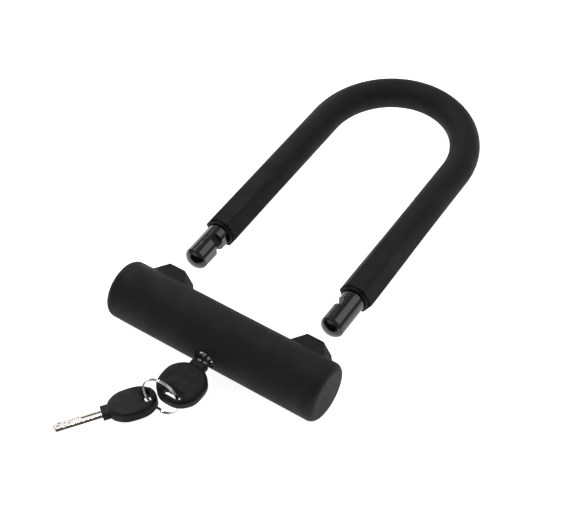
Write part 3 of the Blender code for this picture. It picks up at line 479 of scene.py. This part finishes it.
def shackle_bar():
    """Round bar. Each end has a domed tip, part of an ellipse that stops short of the bar's side, and its
    inner side is cut back to a flat, and further back over the length of the notch."""
    clips = [math.acos((BAR_RADIUS - depth) / BAR_RADIUS) for depth in (FLAT_DEPTH, NOTCH_DEPTH)]
    marks = np.array([sign * clip for clip in clips for sign in (-1, 1)]) % math.tau
    angle = np.unique(np.concatenate([np.linspace(0, math.tau, 108, endpoint=False), marks]))
    dome = TIP_DOME * (1 - np.cos(np.linspace(0.06, math.pi / 2, 18)))
    low, high = NOTCH_MIDDLE - NOTCH_HALF, NOTCH_MIDDLE + NOTCH_HALF
    wall = 0.12
    from_tip = np.concatenate([
        dome, [TIP_DOME, 5.2, 8, 12],
        [low - 1, low - wall, low, low, low + wall, NOTCH_MIDDLE],
        [high - wall, high, high, high + wall, high + 1],
        [28, 31, 34, FLAT_END, FLAT_END],
        [80, 120, BEND_START - TIP_Y - 10]])
    depth = np.zeros_like(from_tip)
    depth[len(dome):-4] = FLAT_DEPTH
    notch_first, notch_last = np.flatnonzero(from_tip == low)[1], np.flatnonzero(from_tip == high)[0]
    depth[notch_first:notch_last + 1] = NOTCH_DEPTH
    full = math.sqrt(1 - (1 - TIP_DOME / TIP_ELLIPSE) ** 2)
    swell = np.sqrt(1 - (1 - np.clip(from_tip, 0, TIP_DOME) / TIP_ELLIPSE) ** 2) / full
    bend_rows = 60
    centre, heading = u_route(TIP_Y + from_tip, bend_rows)[:2]
    radius = BAR_RADIUS * np.concatenate([swell, np.ones(bend_rows), swell[::-1]])
    depth = np.concatenate([depth, np.zeros(bend_rows), depth[::-1]])
    grid = swept(centre, heading, radius[:, None] * np.ones_like(angle), angle)
    side = np.cross(heading, UP)
    out = np.einsum("ijk,ik->ij", grid - centre[:, None], side)
    limit = (BAR_RADIUS - depth)[:, None]
    grid = grid - np.maximum(out - limit, 0)[..., None] * side[:, None]
    piece("bar_lacquered", "shackle", "black_steel", [skin(grid)], ["shackle_bar"], sharp=25.0)


def collars():
    """Turned rings with rounded outer edges, half sunk in the sleeve's ends."""
    low, high = COLLAR_FACE, COLLAR_FACE + COLLAR_LENGTH
    profile = rounded([(low, SLEEVE_BORE, 0), (low, COLLAR_RADIUS, COLLAR_EDGE),
                       (high, COLLAR_RADIUS, COLLAR_BACK_EDGE), (high, SLEEVE_BORE, 0)])
    for name, side in SIDES:
        ring = skin(turned(profile, (0, 1, 0), (side * LEG_X, 0, 0)), closed=True)
        piece(f"collar_{name}", "shackle", "black_plastic", [ring], [f"sleeve_ring_{name}"])


# Crossbar

def hexagon_point(turn, corners):
    """A point on a hexagon's outline, turn running from 0 to 6 through its corners, with each corner softened
    by averaging over a short stretch."""
    corners = np.array(corners, float)
    shifts = (-0.05, -0.025, 0.0, 0.025, 0.05)
    total = 0
    for shift in shifts:
        t = (turn + shift) % 6
        start = np.floor(t).astype(int) % 6
        part = (t - np.floor(t))[:, None]
        total = total + corners[start] * (1 - part) + corners[(start + 1) % 6] * part
    return total / len(shifts)


def on_cylinder(x, angle, radius, side):
    """Points on the crossbar's round surface, the angle measured from the +Y or -Y direction."""
    parts = np.broadcast_arrays(x, side * radius * np.cos(angle), radius * np.sin(angle))
    return np.stack(parts, -1)


def boss_rows(centre_x, x_edge, angle_edge):
    """Rows from the cover's outside, up a boss's flank and down its socket hole, to the cover's bore. Each
    flank line joins a point of the end's hexagon to the same point of the foot's hexagon, until it meets the
    round surface; a quadratic fillet takes the corner away."""
    polar = np.arctan2(COVER_RADIUS * angle_edge, x_edge - centre_x)
    turn = polar / (math.pi / 3)
    half = BOSS_APOTHEM
    point, corner = half / math.cos(math.pi / 6), half * math.tan(math.pi / 6)
    wide, top, high = BOSS_FOOT
    end = hexagon_point(turn, [(point, 0), (corner, half), (-corner, half),
                               (-point, 0), (-corner, -half), (corner, -half)])
    foot = hexagon_point(turn, [(wide, 0), (top, high), (-top, high),
                                (-wide, 0), (-top, -high), (top, -high)])
    edge_y = BOSS_END - BOSS_EDGE
    start = np.stack([centre_x + end[:, 0], np.full(len(end), edge_y), end[:, 1]], 1)
    slope = np.stack([centre_x + foot[:, 0], np.full(len(end), BOSS_FOOT_Y), foot[:, 1]], 1) - start
    a = slope[:, 1] ** 2 + slope[:, 2] ** 2
    b = 2 * (start[:, 1] * slope[:, 1] + start[:, 2] * slope[:, 2])
    c = start[:, 1] ** 2 + start[:, 2] ** 2 - COVER_RADIUS ** 2
    meet = (-b - np.sqrt(b * b - 4 * a * c)) / (2 * a)
    corner_point = start + meet[:, None] * slope
    corner_angle = np.arctan2(corner_point[:, 2], corner_point[:, 1])
    back = BOSS_FILLET / np.linalg.norm(slope, axis=1)
    above = start + (meet - back)[:, None] * slope
    reach = np.hypot(x_edge - corner_point[:, 0], COVER_RADIUS * (angle_edge - corner_angle))
    near = np.minimum(BOSS_FILLET / reach, 0.6)

    def along(share):
        """Points on the round surface, from the flank's foot (0) to the window's edge (1)."""
        x = corner_point[:, 0] + share * (x_edge - corner_point[:, 0])
        return on_cylinder(x, corner_angle + share * (angle_edge - corner_angle), COVER_RADIUS, 1)

    below = along(near)
    rows = [along(near + s * (1 - near)) for s in np.linspace(1, 0, 9)[1:]]
    for t in np.linspace(0, 1, 8)[1:]:
        rows.append((1 - t) ** 2 * below + 2 * (1 - t) * t * corner_point + t * t * above)
    rows += [start + ((meet - back) * s)[:, None] * slope for s in np.linspace(1, 0, 7)[1:]]
    for k in np.linspace(0, math.pi / 2, 6)[1:]:
        scale = 1 - BOSS_EDGE / half * (1 - math.cos(k))
        y = edge_y + BOSS_EDGE * math.sin(k)
        rows.append(np.stack([centre_x + end[:, 0] * scale, np.full(len(end), y), end[:, 1] * scale], 1))
    rim = rows[-1]
    circle = np.stack([np.cos(polar), 0 * polar, np.sin(polar)], 1)
    axis = np.array([centre_x, 0, 0])
    mouth = axis + (SOCKET_MOUTH + SOCKET_LIP) * circle + [0, BOSS_END, 0]
    rows += [rim + (mouth - rim) * s for s in (0.5, 1.0)]
    for k in np.linspace(0, math.pi / 2, 5)[1:]:
        out = SOCKET_MOUTH + SOCKET_LIP * (1 - math.sin(k))
        rows.append(axis + out * circle + [0, BOSS_END - SOCKET_LIP * (1 - math.cos(k)), 0])
    rows.append(axis + SOCKET_MOUTH * circle + [0, SOCKET_SEAT_Y, 0])
    rows.append(axis + SOCKET_SEAT * circle + [0, SOCKET_SEAT_Y, 0])
    seat = axis + SOCKET_SEAT * circle
    seat[:, 1] = np.sqrt(COVER_BORE ** 2 - seat[:, 2] ** 2)
    rows.append(seat)
    return rows


def nose_rows(centre_x, x_edge, angle_edge):
    """Rows from the cover's outside through the round hole for the cylinder's nose, to the cover's bore."""
    polar = np.arctan2(COVER_RADIUS * angle_edge, x_edge - centre_x)
    circle = np.stack([np.cos(polar), np.sin(polar)], 1)

    def at(out, surface):
        """A circle of radius out, carried along Y onto a round surface."""
        x, z = centre_x + out * circle[:, 0], out * circle[:, 1]
        return np.stack([x, -np.sqrt(surface ** 2 - z ** 2), z], 1)

    outer = at(NOSE_HOLE + NOSE_LIP, COVER_RADIUS)
    angle = np.arctan2(outer[:, 2], -outer[:, 1])
    rows = []
    for s in np.linspace(1, 0, 6)[1:]:
        x = outer[:, 0] + s * (x_edge - outer[:, 0])
        rows.append(on_cylinder(x, angle + s * (angle_edge - angle), COVER_RADIUS, -1))
    for k in np.linspace(0, math.pi / 2, 5)[1:]:
        rows.append(at(NOSE_HOLE + NOSE_LIP * (1 - math.sin(k)), COVER_RADIUS - NOSE_LIP * (1 - math.cos(k))))
    rows.append(at(NOSE_HOLE, COVER_BORE))
    return rows


def window_edge(rows, columns):
    """The row and the column of each grid point once round a window."""
    walk = [(rows, np.full_like(rows, columns[0])), (np.full_like(columns, rows[-1]), columns),
            (rows[::-1], np.full_like(rows, columns[-1])), (np.full_like(columns, rows[0]), columns[::-1])]
    return [np.concatenate([stretch[i][:-1] for stretch in walk]) for i in (0, 1)]


def crossbar_cover():
    """A tube whose outer and inner skins are grids of length by turn. A window is left in both for each boss
    and for the nose's hole, and the rows between the two windows' edges fill it."""
    windows = [(-LEG_X, -LEG_X - BOSS_WINDOW_OUT, -LEG_X + BOSS_WINDOW_IN, 1),
               (0.0, -NOSE_WINDOW, NOSE_WINDOW, -1),
               (LEG_X, LEG_X - BOSS_WINDOW_IN, LEG_X + BOSS_WINDOW_OUT, 1)]
    breaks = [-CAP_SEAM, *(end for window in windows for end in window[1:3]), CAP_SEAM]
    parts = [np.linspace(a, b, max(2, round((b - a) / COVER_STEP)), endpoint=False)
             for a, b in zip(breaks, breaks[1:])]
    x = np.concatenate(parts + [[CAP_SEAM]])
    turn = math.tau / COVER_COLUMNS
    angle = np.arange(COVER_COLUMNS) * turn
    points = [on_cylinder(x[:, None], angle, radius, 1).reshape(-1, 3)
              for radius in (COVER_RADIUS, COVER_BORE)]
    count = len(x) * COVER_COLUMNS
    outer = np.arange(count).reshape(len(x), COVER_COLUMNS)
    inner = outer + count
    keep = np.ones((len(x) - 1, COVER_COLUMNS), bool)
    faces = []
    total = 2 * count
    for centre_x, x_low, x_high, side in windows:
        first, last = (int(np.argmin(abs(x - end))) for end in (x_low, x_high))
        middle, span, fill = ((0, BOSS_WINDOW_SPAN, boss_rows) if side > 0 else
                              (COVER_COLUMNS // 2, NOSE_WINDOW_SPAN, nose_rows))
        offset = np.arange(-span, span + 1)
        columns = (offset + middle) % COVER_COLUMNS
        keep[np.ix_(np.arange(first, last), columns[:-1])] = False
        edge_row, edge_offset = window_edge(np.arange(first, last + 1), offset)
        edge_column = (edge_offset + middle) % COVER_COLUMNS
        rows = np.stack(fill(centre_x, x[edge_row], edge_offset * turn * side))
        numbers = total + np.arange(len(rows) * len(edge_row)).reshape(len(rows), -1)
        total += numbers.size
        points.append(rows.reshape(-1, 3))
        strip = np.vstack([outer[edge_row, edge_column], numbers, inner[edge_row, edge_column]])
        faces.append(quads_between(strip[:-1], strip[1:]))
    faces += [quads_between(outer[:-1], outer[1:])[keep.reshape(-1)],
              quads_between(inner[1:], inner[:-1])[keep.reshape(-1)],
              quads_between(inner[:1], outer[:1]), quads_between(outer[-1:], inner[-1:])]
    walls = (np.concatenate(points), np.concatenate(faces).tolist())
    piece("cover_soft", "crossbar", "soft_touch_black", [walls], ["crossbar_cover"], sharp=42.0)


def end_caps():
    """Turned caps: a spigot in the tube, a fine bevel at the seam, a rim that is a quarter circle, and two
    rings on the flat face round its middle."""
    seam = CAP_SEAM + CAP_SEAM_GAP
    arc = np.linspace(0, math.pi / 2, 16)
    rim = np.stack([HALF_LENGTH - RIM_ROUND * (1 - np.sin(arc)),
                    COVER_RADIUS - RIM_ROUND * (1 - np.cos(arc))], 1)
    profile = np.vstack([(SPIGOT_END, SPIGOT_RADIUS), (seam, SPIGOT_RADIUS), (seam, COVER_RADIUS - CAP_BEVEL),
                         (seam + CAP_BEVEL, COVER_RADIUS), rim, (HALF_LENGTH, 10.0), (HALF_LENGTH, 4.0)])
    for name, side in SIDES:
        cap = skin(turned(profile, (side, 0, 0), (0, 0, 0), columns=COVER_COLUMNS))
        piece(f"cap_{name}", "crossbar", "soft_touch_black", [cap], [f"end_cap_{name}"], sharp=42.0)


# Keys and ring

def placed(points, faces, matrix):
    """A skin carried to its place by a matrix."""
    turn = np.array(matrix)
    return points @ turn[:3, :3].T + turn[:3, 3], faces


def stadium_radius(angle, half_length, half_width):
    """Distance from a slot's middle to its outline: a straight side, or the round end beyond it."""
    straight = half_length - half_width
    c, s = np.abs(np.cos(angle)), np.abs(np.sin(angle))
    to_side = half_width / np.maximum(s, 1e-9)
    to_end = straight * c + np.sqrt(np.maximum(half_width ** 2 - (straight * s) ** 2, 0))
    return np.where(to_side * c <= straight, to_side, to_end)


def bow_skin():
    """A flat octagon with a slot: an outline whose radius is one over a power mean of the cosines to its
    eight sides, each divided by that side's distance; a straight side wall, an elliptical edge, a faintly
    crowned face and a dished surround, carried round in one closed loop from face to face."""
    turn = np.linspace(0, math.tau, 240, endpoint=False)
    sides = np.arange(8) * math.pi / 4
    distance = np.array([BOW_HALF_WIDTH, BOW_DIAGONAL, BOW_HALF_LENGTH, BOW_DIAGONAL] * 2)
    facing = np.maximum(np.cos(turn[:, None] - sides), 0) / distance
    size = (facing ** BOW_SHARPNESS).sum(1) ** (-1 / BOW_SHARPNESS)
    outline = np.stack([size * np.cos(turn), size * np.sin(turn)], 1)
    middle = np.array([0, BOW_MIDDLE])
    slot = np.array([0, SLOT_Y])
    angle = np.arctan2(outline[:, 1] + BOW_MIDDLE - SLOT_Y, outline[:, 0])
    ray = np.stack([np.cos(angle), np.sin(angle)], 1)

    def slot_ring(extra):
        """The slot's outline, grown by extra."""
        reach = stadium_radius(angle, SLOT_HALF_LENGTH + extra, SLOT_HALF_WIDTH + extra)
        return slot + reach[:, None] * ray

    face = BOW_HALF_THICKNESS
    rows = []
    for k in np.linspace(0, math.pi / 2, 4):
        height = face - SLOT_RECESS - SLOT_LIP * (1 - math.sin(k))
        rows.append((slot_ring(SLOT_LIP * (1 - math.cos(k))), height))
    for s in np.linspace(0, 1, 8)[1:]:
        rise = s * s * (3 - 2 * s)
        rows.append((slot_ring(SLOT_LIP + SLOT_RECESS_WIDTH * s), face - SLOT_RECESS * (1 - rise)))
    inner_ring = rows[-1][0]
    edge_ring = middle + outline * (1 - BOW_EDGE)
    for s in (0.15, 0.4, 0.7, 1.0):
        rows.append((inner_ring + (edge_ring - inner_ring) * s, face - BOW_CROWN * s * s))
    for k in np.linspace(0, math.pi / 2, 10)[1:]:
        scale = 1 - BOW_EDGE * (1 - math.sin(k))
        height = BOW_SIDE_HALF + (face - BOW_CROWN - BOW_SIDE_HALF) * math.cos(k)
        rows.append((middle + outline * scale, height))
    upper = np.stack([np.column_stack([xy, np.full(len(xy), height)]) for xy, height in rows])
    lower = upper[::-1] * [1, 1, -1]
    return skin(np.concatenate([upper, lower]), closed=True)


def neck_skin():
    """The moulded neck: a rounded rectangle carried from inside the bow to the blade, with a rounded front
    edge."""
    angle = np.linspace(0, math.tau, 72, endpoint=False)
    c, s = np.cos(angle), np.sin(angle)
    size = (np.abs(c) ** NECK_SHARPNESS + np.abs(s) ** NECK_SHARPNESS) ** (-1 / NECK_SHARPNESS)
    arc = np.linspace(0, math.pi / 2, 6)
    front = [(-NECK_EDGE * (1 - math.sin(k)), NECK_EDGE * (1 - math.cos(k))) for k in arc]
    rows = []
    for y, inward in [(NECK_ROOT, 0.0), *front]:
        x, z = (NECK_HALF_WIDTH - inward) * size * c, (NECK_HALF_HEIGHT - inward) * size * s
        rows.append(np.stack([x, np.full_like(x, y), z], 1))
    return skin(np.stack(rows))


def blade_skin():
    """A flat bar whose cross-section changes along its length: the half width tapers over the point, and both
    faces are cut by grooves and pockets with sloping walls and by round dimples. Gives back how deep each
    point was cut, too."""
    y = np.concatenate([[-BLADE_TANG, -0.5], np.linspace(0, BLADE_LENGTH - BLADE_POINT, 120),
                        BLADE_LENGTH - BLADE_POINT * (1 - np.linspace(0, 1, 14)[1:] ** 0.9)])
    taper = np.clip((y - BLADE_LENGTH + BLADE_POINT) / BLADE_POINT, 0, 1)
    half = BLADE_HALF_WIDTH - (BLADE_HALF_WIDTH - BLADE_TIP_HALF_WIDTH) * taper ** 1.5
    across = np.linspace(-1, 1, 61)
    x = half[:, None] * across
    rows = y[:, None]

    def cut(x0, x1, y0, y1, deep, wall=0.12):
        """Depth of a cut from x0 to x1 and y0 to y1, whose walls slope over twice the wall's width."""
        inside = [np.clip((v + wall) / (2 * wall), 0, 1) for v in (x - x0, x1 - x, rows - y0, y1 - rows)]
        return deep * inside[0] * inside[1] * inside[2] * inside[3]

    groove = cut(-0.4, 1.2, -1, 12.4, CUT_DEPTH)
    step = cut(0.9, 1.4, 12.9, 13.6, 0.3)
    pocket = cut(0.9, 3.0, 14.4, 20.4, 0.2)
    rebate = cut(-4.4, -3.3, -1, 30.2, CUT_DEPTH)
    depth = groove + step + pocket + rebate
    for middle_x, middle_y, radius in DIMPLES:
        far = np.hypot(x - middle_x, rows - middle_y) / radius
        depth = depth + CUT_DEPTH * np.clip(1 - far ** 2, 0, 1)
    edge = half[:, None] - BLADE_SHOULDER
    corner = np.clip((np.abs(x) - edge) / BLADE_SHOULDER, 0, 1)
    nose = 0.6 * np.clip((y - BLADE_LENGTH + 0.8) / 0.8, 0, 1)[:, None] ** 2
    face = BLADE_HALF_THICKNESS - depth - BLADE_SHOULDER * (1 - np.sqrt(1 - corner ** 2)) - nose
    top = np.stack([x, np.broadcast_to(rows, x.shape), face], -1)
    bottom = top[:, ::-1] * [1, 1, -1]
    # this cut depth also drives the painted shade in the cuts, through the nickel_silver material
    milled = np.clip(depth / CUT_DEPTH, 0, 1)
    milled = np.concatenate([milled, milled[:, ::-1]], 1)
    points, faces = skin(np.concatenate([top, bottom], 1))
    return points, faces, np.append(milled.ravel(), [0, 0])


def key(body, matrix):
    """A key's blade, and its bow and neck in one moulding."""
    points, faces, milled = blade_skin()
    blade = placed(points, faces, matrix)
    piece(f"{body}_blade_milled", body, "nickel", [blade], [f"{body}_blade"], sharp=30.0, cut=milled)
    moulding = [placed(*bow_skin(), matrix), placed(*neck_skin(), matrix)]
    piece(f"{body}_bow_moulded", body, "black_plastic", moulding, [f"{body}_bow"], sharp=50.0)


def split_ring():
    """Two turns of drawn wire side by side, a helix of two pitches, thinner at its cut ends."""
    steps = 300
    turn = np.linspace(0, 2 * math.tau, steps) - math.pi / 2
    along = (np.linspace(0, 2, steps) - 1) * RING_PITCH
    axis = np.array([0.0, 1.0, 0.0])
    radial = np.stack([np.cos(turn), 0 * turn, np.sin(turn)], 1)
    centre = RING_RADIUS * radial + along[:, None] * axis
    from_end = np.minimum(np.arange(steps), np.arange(steps)[::-1])
    wire = RING_WIRE * (0.6 + 0.4 * np.sqrt(np.clip(from_end / 2, 0, 1)))
    angle = np.linspace(0, math.tau, 20, endpoint=False)
    rows = centre[:, None] + (wire[:, None] * np.cos(angle))[..., None] * radial[:, None]
    rows = rows + (wire[:, None] * np.sin(angle))[..., None] * axis
    lean = Matrix.Rotation(-RING_TURN, 4, "Z") @ Matrix.Rotation(RING_LEAN, 4, "X")
    coil = placed(*skin(rows), Matrix.Translation(RING_CENTRE) @ lean)
    piece("split_ring_plated", "ring", "nickel", [coil], ["split_ring"], finish=RING_FINISH)


# Camera and studio

def camera():
    """The camera stands back from the crossbar's middle, moved sideways and up in its own plane, in
    millimetres."""
    azimuth, elevation, roll = (math.radians(v) for v in (34.15, 48.82, -0.99))
    distance, shift_x, shift_y = 814.15, 38.2, 52.8
    level = math.cos(elevation)
    back = np.array([math.sin(azimuth) * level, -math.cos(azimuth) * level, math.sin(elevation)])
    right = np.array([math.cos(azimuth), math.sin(azimuth), 0])
    up = np.cross(back, right)
    c, s = math.cos(roll), math.sin(roll)
    right, up = c * right + s * up, c * up - s * right
    place = (distance * back + shift_x * right + shift_y * up) * MM + LOCK_ZERO
    data = bpy.data.cameras.new("camera")
    data.lens = 81.56
    data.sensor_width = 36.0
    made = bpy.data.objects.new("camera", data)
    bpy.context.scene.collection.objects.link(made)
    made.matrix_world = Matrix(np.vstack([np.column_stack([right, up, back, place]), (0, 0, 0, 1)]).tolist())
    bpy.context.scene.camera = made


def area_light(name, place, target, size, power):
    """A soft box of some width and height at a place, facing its target, in watts."""
    data = bpy.data.lights.new(name, "AREA")
    data.shape = "RECTANGLE"
    data.size, data.size_y = size
    data.energy = power
    made = bpy.data.objects.new(name, data)
    bpy.context.scene.collection.objects.link(made)
    aim = Vector(place) - Vector(target)
    made.rotation_mode = "QUATERNION"
    made.rotation_quaternion = aim.to_track_quat("Z", "Y")
    made.location = place


def studio():
    """A white table, an even grey room, three soft boxes and a bright card low at the back."""
    world = bpy.data.worlds.new("studio_room")
    world.use_nodes = True
    seen = add(world.node_tree, "ShaderNodeLightPath")
    level = add(world.node_tree, "ShaderNodeMapRange", {"To Min": ROOM_LIGHT, "To Max": 1.0},
                {"Value": seen.outputs["Is Camera Ray"]})
    background = world.node_tree.nodes["Background"]
    background.inputs["Color"].default_value = (1, 1, 1, 1)
    world.node_tree.links.new(level.outputs["Result"], background.inputs["Strength"])
    bpy.context.scene.world = world
    area_light("glint_box", (-0.9, 0.5, 1.1), (0, 0.05, 0), (0.26, 0.26), 9.0)
    area_light("back_box", (0.75, 0.9, 1.15), (0, 0.05, 0), (1.1, 1.1), 5.6)
    area_light("front_box", (-0.5, -1.1, 0.7), (0, 0, 0), (1.0, 0.6), 1.6)
    area_light("low_card", (-0.95, 0.9, 0.14), (-0.05, -0.12, 0.01), (0.8, 0.26), 1.3)
    half = 6.0
    mesh = bpy.data.meshes.new("table_top")
    corners = [(-half, -half, 0), (half, -half, 0), (half, half, 0), (-half, half, 0)]
    mesh.from_pydata(corners, [], [(0, 1, 2, 3)])
    mesh.materials.append(studio_table())
    floor = bpy.data.objects.new("table_top", mesh)
    bpy.context.scene.collection.objects.link(floor)
    floor.location.z = -TABLE_GAP
    bpy.context.scene.view_settings.view_transform = "Standard"


camera()
studio()
for row in frame["record"]["subparts"]:
    mesh = frame["nodes"][row["node"]].data
    mesh.materials.clear()
    mesh.materials.append(FINISH[row["material_slot"]])
shackle_sleeve()
shackle_bar()
collars()
crossbar_cover()
end_caps()
spare_turn = Matrix.Rotation(SPARE_YAW, 4, "Z") @ Matrix.Rotation(SPARE_PITCH, 4, "X")
spare_matrix = Matrix.Translation(SPARE_PLACE) @ spare_turn @ Matrix.Rotation(SPARE_ROLL, 4, "Y")
key("key", Matrix.Translation(NECK_PLACE))
key("spare", spare_matrix)
split_ring()
